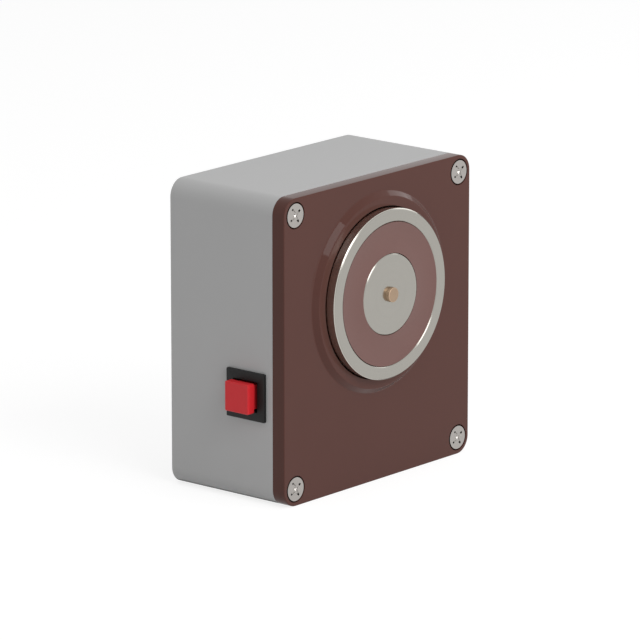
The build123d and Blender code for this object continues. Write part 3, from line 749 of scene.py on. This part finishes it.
class DOORHOLDER_OT_stage(bpy.types.Operator):
    """Sets the camera, the lamps, the pale surroundings and the floor"""

    bl_idname = "door_holder.stage"
    bl_label = "Stage"

    def execute(self, context):
        context.scene.view_settings.view_transform = "Standard"
        self.camera(context.scene)
        self.surroundings(context.scene)
        for name, facts in LAMPS.items():
            self.lamp(context.scene, name, *facts)
        self.floor(context.scene)
        return {"FINISHED"}

    def camera(self, scene):
        """Camera at the photograph's viewing angle."""
        azimuth = radians(CAMERA_AZIMUTH)
        rise = radians(CAMERA_RISE)
        back = Vector((sin(azimuth) * cos(rise), -cos(azimuth) * cos(rise), sin(rise)))
        right = Vector((0, 0, 1)).cross(back).normalized()
        up = back.cross(right)
        lens = bpy.data.cameras.new("camera")
        lens.lens = scene.door_holder.camera_lens
        lens.sensor_width = 36.0
        lens.clip_end = 50.0
        camera = bpy.data.objects.new("camera", lens)
        camera.matrix_world = (
            Matrix.Translation(back * CAMERA_DISTANCE + right * CAMERA_RIGHT - up * CAMERA_DOWN)
            @ Matrix((right, up, back)).transposed().to_4x4()
        )
        scene.collection.objects.link(camera)
        scene.camera = camera

    def surroundings(self, scene):
        """Pale world: white where it is seen, mirrored or seen through, softer where it lights."""
        scene.world = bpy.data.worlds.new("surroundings")
        sky = Finish(scene.world)
        seen = sky.node("ShaderNodeLightPath", output="Is Camera Ray")
        for ray in ("Is Glossy Ray", "Is Transmission Ray"):
            seen = seen.math("MAXIMUM", seen, sky.node("ShaderNodeLightPath", output=ray))
        sockets = {"Value": seen, "To Min": WORLD_LIGHT, "To Max": 1.0}
        strength = sky.node("ShaderNodeMapRange", {}, sockets, "Result")
        shader = sky.node("ShaderNodeBackground", {}, {"Color": WHITE, "Strength": strength})
        sky.output(shader, "ShaderNodeOutputWorld")

    def lamp(self, scene, name, direction, distance, size, power, mirrored):
        """Rectangular lamp that faces the object."""
        light = bpy.data.lights.new(name, "AREA")
        light.shape = "RECTANGLE"
        light.size, light.size_y = size
        light.energy = power
        panel = bpy.data.objects.new(name, light)
        towards = Vector(direction).normalized()
        turn = towards.to_track_quat("Z", "Y").to_matrix().to_4x4()
        panel.matrix_world = Matrix.Translation(towards * distance) @ turn
        panel.visible_camera = False
        panel.visible_glossy = mirrored
        scene.collection.objects.link(panel)

    def floor(self, scene):
        """White floor that keeps the object's soft shadow."""
        shape = bmesh.new()
        bmesh.ops.create_grid(shape, x_segments=1, y_segments=1, size=FLOOR_SIZE)
        bmesh.ops.translate(shape, verts=shape.verts[:], vec=(0, 0, CAD_BOX[0][2]))
        finish = Finish.named("floor_white")
        matt = finish.node("ShaderNodeBsdfDiffuse", {}, {"Color": FLOOR_WHITE})
        glow = finish.node("ShaderNodeEmission", {}, {"Color": WHITE, "Strength": FLOOR_GLOW})
        seen = finish.node("ShaderNodeLightPath", output="Is Camera Ray")
        mirrored = finish.node("ShaderNodeLightPath", output="Is Glossy Ray")
        share = (seen + mirrored) * FLOOR_GLOW_SHARE
        mixed = finish.node("ShaderNodeMixShader", {}, {0: share, 1: matt, 2: glow})
        mesh = bpy.data.meshes.new("floor")
        shape.to_mesh(mesh)
        shape.free()
        mesh.materials.append(finish.output(mixed))
        ground = bpy.data.objects.new("floor", mesh)
        scene.collection.objects.link(ground)


class DOORHOLDER_OT_housing(bpy.types.Operator):
    """Dresses the moulded housing"""

    bl_idname = "door_holder.housing"
    bl_label = "Housing"

    def execute(self, context):
        dress(grey_moulding(), "housing")
        return {"FINISHED"}


class DOORHOLDER_OT_cover(bpy.types.Operator):
    """Makes the front cover with its raised collar, magnet opening and screw seats"""

    bl_idname = "door_holder.cover"
    bl_label = "Front cover"

    def execute(self, context):
        edge = context.scene.door_holder.moulded_edge / MM
        shape = bmesh.new()
        levels = [(0.0, HOUSING_DEPTH), *rounded_edge(BOX_DEPTH, edge)]
        stacked(shape, BOX_WIDTH, BOX_HEIGHT, CORNER_RADIUS, levels, 12)
        collar_top = BOX_DEPTH + COLLAR_HEIGHT
        collar = [
            (COLLAR_MARGIN_RADIUS, BOX_DEPTH),
            (COLLAR_FOOT_RADIUS, BOX_DEPTH),
            (COLLAR_TOP_RADIUS, collar_top),
            (COLLAR_HOLE_RADIUS, collar_top),
            (COLLAR_HOLE_RADIUS, HOUSING_DEPTH),
        ]
        join(shape, turned(collar, (0, MAGNET_Z), COLLAR_ROUNDING, closed=False))
        ledge = BOX_DEPTH - SEAT_BACK
        seat = [
            (SEAT_RADIUS, BOX_DEPTH),
            (SEAT_RADIUS, ledge),
            (SEAT_FLOOR_RADIUS, ledge),
            (SCREW_HOLE_RADIUS, ledge - (SEAT_FLOOR_RADIUS - SCREW_HOLE_RADIUS)),
            (SCREW_HOLE_RADIUS, HOUSING_DEPTH),
        ]
        for place in CORNER_SCREWS:
            join(shape, turned(seat, place, steps=48, closed=False))
        fill(shape, boundary(shape, BOX_DEPTH), FLAT_MARGIN)
        fill(shape, boundary(shape, HOUSING_DEPTH))
        clean(shape)
        made("cover_shell", shape, brown_moulding(), "brown_plastic", "holder", ["front_cover"])
        return {"FINISHED"}


class DOORHOLDER_OT_cover_screws(bpy.types.Operator):
    """Makes the four countersunk screws with their cross recesses"""

    bl_idname = "door_holder.cover_screws"
    bl_label = "Cover screws"

    def execute(self, context):
        finish = zinc_plate()
        for number, (x, z) in enumerate(CORNER_SCREWS, start=1):
            shape = self.screw()
            bmesh.ops.translate(shape, verts=shape.verts[:], vec=(x * MM, 0, z * MM))
            replaced = [f"cover_screw_{number}"]
            made(f"cross_screw_{number}", shape, finish, "zinc_steel", "holder", replaced)
        return {"FINISHED"}

    def screw(self):
        """One screw on the wall-square axis, its head flush with the cover."""
        tip = BOX_DEPTH - SCREW_LENGTH
        profile = [
            (HEAD_RADIUS, BOX_DEPTH),
            (HEAD_RADIUS, BOX_DEPTH - HEAD_LAND),
            (SHANK_RADIUS, BOX_DEPTH - HEAD_LAND - (HEAD_RADIUS - SHANK_RADIUS)),
            (SHANK_RADIUS, tip + TIP_LENGTH),
            (TIP_RADIUS, tip),
            (0.0, tip),
        ]
        shape = turned(profile, steps=64, closed=False)
        join(shape, self.recess())
        fill(shape, boundary(shape, BOX_DEPTH))
        clean(shape)
        return shape

    def recess(self):
        """Cross recess: four arms that are deepest near their ends, and a square pit between."""
        face = Vector((0, -BOX_DEPTH, 0))
        inwards = Vector((0, 1, 0))
        top = []
        bottom = []
        for arm in range(4):
            turn = radians(RECESS_TURN + 90 * arm)
            along = Vector((cos(turn), 0, sin(turn)))
            across = Vector((-sin(turn), 0, cos(turn)))
            for reach, side, low_reach, low_side, sunk in RECESS_ARM:
                top.append((face + along * reach + across * side) * MM)
                low = along * low_reach + across * low_side + inwards * sunk
                bottom.append((face + low) * MM)
        shape = bmesh.new()
        rim = [shape.verts.new(place) for place in top]
        pairs = [shape.edges.new(pair) for pair in zip(rim, rim[1:] + rim[:1])]
        walls = bmesh.ops.extrude_edge_only(shape, edges=pairs)["geom"]
        for vert in (item for item in walls if isinstance(item, bmesh.types.BMVert)):
            above = min(range(len(top)), key=lambda number: (top[number] - vert.co).length)
            vert.co = bottom[above]
        edges = [item for item in walls if isinstance(item, bmesh.types.BMEdge)]
        floor = [edge for edge in edges if edge.is_boundary]
        pit = []
        for corner in range(4):
            turn = radians(PIT_TURN + 90 * corner)
            place = (PIT_RADIUS * cos(turn), PIT_RIM_BACK - BOX_DEPTH, PIT_RADIUS * sin(turn))
            pit.append(shape.verts.new(Vector(place) * MM))
        sides = list(zip(pit, pit[1:] + pit[:1]))
        fill(shape, floor + [shape.edges.new(pair) for pair in sides])
        deepest = shape.verts.new((0, (PIT_BACK - BOX_DEPTH) * MM, 0))
        for pair in sides:
            shape.faces.new((*pair, deepest))
        return shape


class DOORHOLDER_OT_magnet(bpy.types.Operator):
    """Makes the turned magnet pot and the resin between its poles"""

    bl_idname = "door_holder.magnet"
    bl_label = "Magnet"

    def execute(self, context):
        edge = context.scene.door_holder.turned_edge / MM
        core_hole_end = POLE_FACE - PIN_SHOULDER_BACK
        pot = [
            (FIXING_BORE_RADIUS, POT_BASE),
            (POT_RADIUS, POT_BASE),
            (POT_RADIUS, POLE_FACE),
            (RING_INNER_RADIUS, POLE_FACE),
            (RING_INNER_RADIUS, POT_FLOOR),
            (CORE_RADIUS, POT_FLOOR),
            (CORE_RADIUS, POLE_FACE),
            (CORE_HOLE_RADIUS, POLE_FACE),
            (CORE_HOLE_RADIUS, core_hole_end),
            (CORE_BORE_RADIUS, core_hole_end),
            (CORE_BORE_RADIUS, FIXING_BORE_END),
            (FIXING_BORE_RADIUS, FIXING_BORE_END),
        ]
        chamfers = ((1, POT_BASE_CHAMFER), (2, edge), (3, edge), (6, edge))
        shape = turned(pot, (0, MAGNET_Z), chamfers, 192, segments=1)
        made("pole_pot", shape, turned_steel(), "magnet_steel", "holder", ["magnet_pot"])
        inner = CORE_RADIUS + RESIN_GAP
        outer = RING_INNER_RADIUS - RESIN_GAP
        resin = [
            (inner, POLE_FACE - RESIN_BACK),
            (outer, POLE_FACE - RESIN_BACK),
            (outer, POLE_FACE - RESIN_EDGE_BACK),
            (RING_INNER_RADIUS - RESIN_SHOULDER, POLE_FACE - RESIN_SHOULDER_BACK),
            ((RING_INNER_RADIUS + CORE_RADIUS) / 2, POLE_FACE - RESIN_MIDDLE_BACK),
            (CORE_RADIUS + RESIN_SHOULDER, POLE_FACE - RESIN_SHOULDER_BACK),
            (inner, POLE_FACE - RESIN_EDGE_BACK),
        ]
        shape = turned(resin, (0, MAGNET_Z), steps=192)
        made("resin_ring", shape, cast_resin(), "potting_resin", "holder", ["potting_ring"])
        return {"FINISHED"}


class DOORHOLDER_OT_ejector(bpy.types.Operator):
    """Makes the spring-loaded pin in the magnet's core"""

    bl_idname = "door_holder.ejector"
    bl_label = "Ejector pin"

    def execute(self, context):
        profile = [
            (0.0, POLE_FACE + PIN_STAND),
            (PIN_RADIUS, POLE_FACE + PIN_STAND),
            (PIN_RADIUS, POLE_FACE - PIN_SHOULDER_BACK),
            (PIN_FLANGE_RADIUS, POLE_FACE - PIN_SHOULDER_BACK),
            (PIN_FLANGE_RADIUS, POLE_FACE - PIN_FLANGE_BACK),
            (PIN_TAIL_RADIUS, POLE_FACE - PIN_FLANGE_BACK),
            (PIN_TAIL_RADIUS, POLE_FACE - PIN_TAIL_BACK),
            (0.0, POLE_FACE - PIN_TAIL_BACK),
        ]
        shape = turned(profile, (0, MAGNET_Z), PIN_ROUNDING, 72, closed=False)
        made("pin_turned", shape, copper_alloy(), "copper_alloy", "ejector", ["ejector_pin"])
        return {"FINISHED"}


class DOORHOLDER_OT_button(bpy.types.Operator):
    """Makes the black bezel and the red release button"""

    bl_idname = "door_holder.button"
    bl_label = "Release button"

    def execute(self, context):
        to_side = Matrix.Translation(Vector(SWITCH_PLACE) * MM) @ Matrix.Rotation(-pi / 2, 4, "Z")
        bezel = self.bezel()
        bmesh.ops.transform(bezel, matrix=to_side, verts=bezel.verts[:])
        made("bezel_moulding", bezel, black_moulding(), "black_plastic", "holder", ["switch_body"])
        cap = self.cap()
        bmesh.ops.transform(cap, matrix=to_side, verts=cap.verts[:])
        made("cap_moulding", cap, red_moulding(), "red_plastic", "button", ["button_cap"])
        return {"FINISHED"}

    def bezel(self):
        """Bezel with the pocket that the cap slides in, and the switch body behind it."""
        shape = bmesh.new()
        levels = [
            (BEZEL_FLANGE, 0.0),
            (0.0, 0.0),
            *rounded_edge(BEZEL_STAND, BEZEL_ROUNDING),
            (WINDOW_INSET, BEZEL_STAND),
            (WINDOW_INSET + WINDOW_CHAMFER, BEZEL_STAND - WINDOW_CHAMFER),
            (WINDOW_INSET + WINDOW_CHAMFER, WINDOW_END),
        ]
        stacked(shape, BEZEL_SIZE, BEZEL_SIZE, BEZEL_CORNER, levels, 4)
        close(shape, WINDOW_END)
        levels = [(0.0, 0.0), (0.0, SWITCH_END + SWITCH_CHAMFER), (SWITCH_CHAMFER, SWITCH_END)]
        stacked(shape, SWITCH_SIZE, SWITCH_SIZE, SWITCH_CORNER, levels, 4)
        close(shape, SWITCH_END)
        clean(shape)
        return shape

    def cap(self):
        """Cap with rounded edges on the narrower stem that goes into the bezel."""
        underside = [
            (inset, CAP_UNDERSIDE - depth)
            for inset, depth in reversed(rounded_edge(0.0, CAP_UNDERSIDE_ROUNDING))
        ]
        levels = [
            (CAP_STEM_INSET, CAP_STEM_END),
            (CAP_STEM_INSET, CAP_UNDERSIDE),
            *underside,
            *rounded_edge(CAP_FACE, CAP_FACE_ROUNDING),
        ]
        shape = bmesh.new()
        stacked(shape, CAP_SIZE, CAP_SIZE, CAP_CORNER, levels, 6)
        close(shape, CAP_STEM_END)
        close(shape, CAP_FACE, FLAT_MARGIN)
        bmesh.ops.recalc_face_normals(shape, faces=shape.faces[:])
        return shape


class DOORHOLDER_OT_back(bpy.types.Operator):
    """Makes the cable grommet and dresses the magnet's fixing screw and washer"""

    bl_idname = "door_holder.back"
    bl_label = "Back"

    def execute(self, context):
        shape = turned(GROMMET_PROFILE, GROMMET_PLACE, GROMMET_ROUNDING, 72)
        rubber = plain_plastic("black_rubber", (0.02, 0.02, 0.02), 0.6)
        made("grommet_moulding", shape, rubber, "black_rubber", "holder", ["cable_grommet"])
        dress(plain_metal("black_oxide", (0.07, 0.07, 0.075), 0.35), "magnet_screw")
        dress(zinc_plate(), "magnet_washer")
        return {"FINISHED"}


class DOORHOLDER_OT_springs(bpy.types.Operator):
    """Makes the two return springs of the button and the pin"""

    bl_idname = "door_holder.springs"
    bl_label = "Springs"

    def execute(self, context):
        finish = plain_metal("spring_wire", (0.5, 0.5, 0.5), 0.25)
        self.spring("button_return_coil", finish, "button_spring", "button_press")
        self.spring("ejector_return_coil", finish, "ejector_spring", "ejector_press")
        return {"FINISHED"}

    def spring(self, name, finish, node, joint):
        """Copy of a CAD spring that stays on the holder's body at its full length."""
        facts = next(item for item in frame["joints"] if item["name"] == joint)
        axis = Vector(facts["axis"])
        low, high = (Vector(corner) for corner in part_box(node))
        length = (high - low).dot(axis)
        shape = bmesh.new()
        shape.from_mesh(frame["nodes"][node].data)
        clean(shape)
        piece = made(name, shape, finish, "spring_steel", "holder", [node])
        1 - facts["range_m"][1] / length
        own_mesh(piece)


class DOORHOLDER_OT_inside(bpy.types.Operator):
    """Dresses the coil, the switch parts, the terminal strip and the wiring"""

    bl_idname = "door_holder.inside"
    bl_label = "Inside"

    def execute(self, context):
        nylon = plain_plastic("natural_nylon", (0.62, 0.60, 0.53), 0.4)
        dress(nylon, "coil_bobbin", "button_plunger", "terminal_strip")
        dress(wound_wire(), "coil_winding")
        brass = plain_metal("drawn_brass", (0.62, 0.45, 0.18), 0.25)
        brass_parts = ("threaded_insert", "terminal_tube", "switch_terminal")
        dress(brass, "contact_bridge", *self.nodes(*brass_parts))
        dress(zinc_plate(), *self.nodes("terminal_screw", "strip_screw"))
        dress(plain_plastic("diode_moulding", (0.03, 0.03, 0.03), 0.35), "suppressor_diode")
        white = plain_plastic("white_insulation", (0.75, 0.74, 0.70), 0.4)
        dress(white, *self.nodes("coil_lead"))
        blue = plain_plastic("blue_insulation", (0.05, 0.12, 0.40), 0.4)
        dress(blue, *self.nodes("switch_lead"))
        return {"FINISHED"}

    def nodes(self, *starts):
        """Names of the CAD nodes that start in one of these ways."""
        return sorted(name for name in frame["nodes"] if name.startswith(starts))


OPERATORS = (
    DOORHOLDER_OT_stage,
    DOORHOLDER_OT_housing,
    DOORHOLDER_OT_cover,
    DOORHOLDER_OT_cover_screws,
    DOORHOLDER_OT_magnet,
    DOORHOLDER_OT_ejector,
    DOORHOLDER_OT_button,
    DOORHOLDER_OT_back,
    DOORHOLDER_OT_springs,
    DOORHOLDER_OT_inside,
)


class DOORHOLDER_PT_pieces(bpy.types.Panel):
    """Lists the door holder's settings and the operators that make its pieces"""

    bl_idname = "DOORHOLDER_PT_pieces"
    bl_label = "Door Holder"
    bl_space_type = "VIEW_3D"
    bl_region_type = "UI"
    bl_category = "Door Holder"

    def draw(self, context):
        for name in DoorHolderSettings.__annotations__:
            self.layout.prop(context.scene.door_holder, name)
        for operator in OPERATORS:
            self.layout.operator(operator.bl_idname)


CLASSES = (DoorHolderSettings, *OPERATORS, DOORHOLDER_PT_pieces)


def register():
    for item in CLASSES:
        bpy.utils.register_class(item)
    bpy.types.Scene.door_holder = PointerProperty(type=DoorHolderSettings)


def unregister():
    del bpy.types.Scene.door_holder
    for item in reversed(CLASSES):
        bpy.utils.unregister_class(item)


def main():
    register()
    for operator in OPERATORS:
        group, name = operator.bl_idname.split(".")
        getattr(getattr(bpy.ops, group), name)()


if __name__ == "__main__":
    main()
